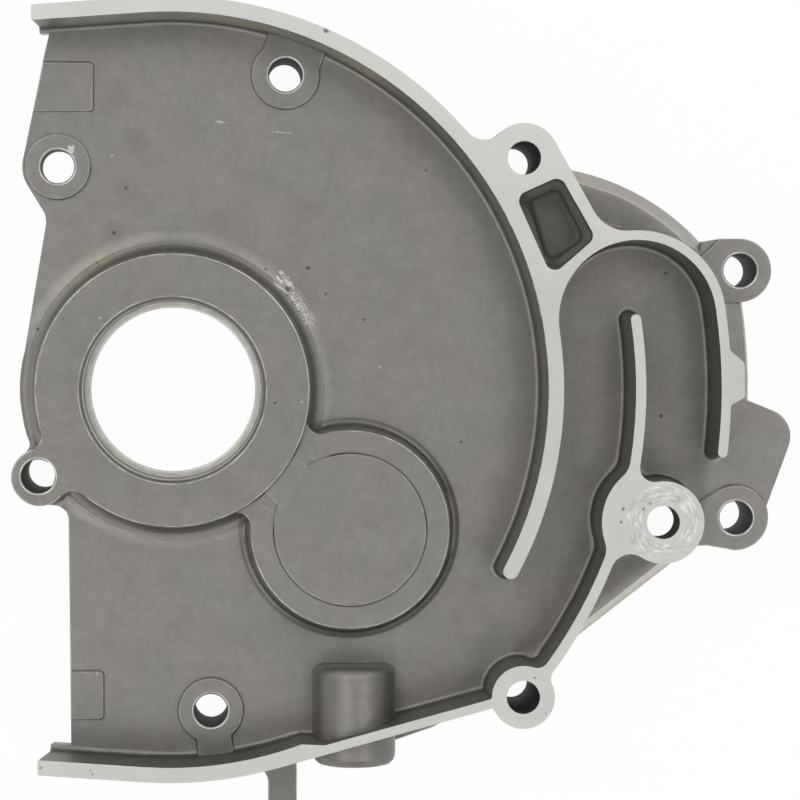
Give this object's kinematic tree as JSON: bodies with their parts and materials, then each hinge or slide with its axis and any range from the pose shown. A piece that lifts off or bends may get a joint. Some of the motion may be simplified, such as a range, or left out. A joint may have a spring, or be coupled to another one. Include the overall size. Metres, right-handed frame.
{
  "type": "scooter variator cover",
  "caption": "Die-cast cover for a scooter's belt chamber: open D-shaped wall on a flat floor, ringed shaft bore with seal seat, round bulge, air labyrinth and bolt bosses.",
  "frame": {"origin": "centre of the shaft bore in the back gasket plane", "axes": "+Z along the shaft towards the machined joint face, +X towards the labyrinth, +Y towards the upper end"},
  "size_m": [0.1662, 0.174, 0.03],
  "materials": {
    "cast_aluminium": "die-cast skin with machined faces"
  },
  "bodies": {
    "root": {"variator_cover": "cast_aluminium"}
  },
  "joints": []
}
